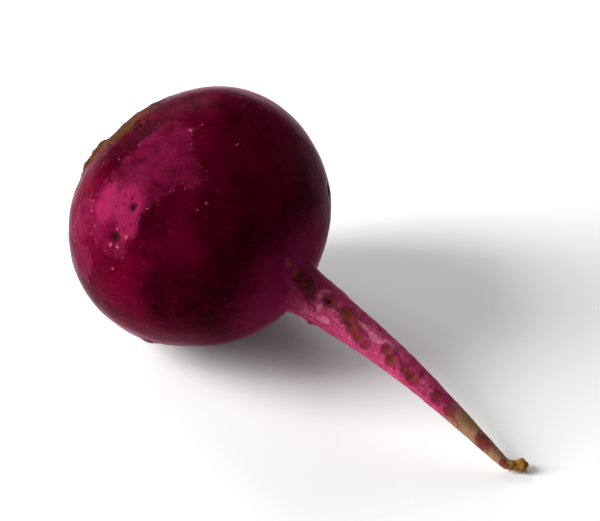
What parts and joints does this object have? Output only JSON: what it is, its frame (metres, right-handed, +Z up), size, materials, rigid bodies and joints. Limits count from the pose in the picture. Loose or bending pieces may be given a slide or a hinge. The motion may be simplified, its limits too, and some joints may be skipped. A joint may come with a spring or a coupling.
{
  "type": "beetroot",
  "caption": "Whole raw beetroot lying on its side: a round bulb on a small flat spot, with a corky leaf crown at one end and a long thin tap root that sags to the surface.",
  "frame": {"origin": "middle of the small flat spot under the bulb, on the surface it rests on", "axes": "+Z up from the surface, +X from the bulb toward the root's tip, along the length"},
  "size_m": [0.1399, 0.0746, 0.0729],
  "materials": {
    "beet_skin": "semi-gloss, slightly rough"
  },
  "bodies": {
    "root": {"beetroot": "beet_skin"}
  },
  "joints": []
}
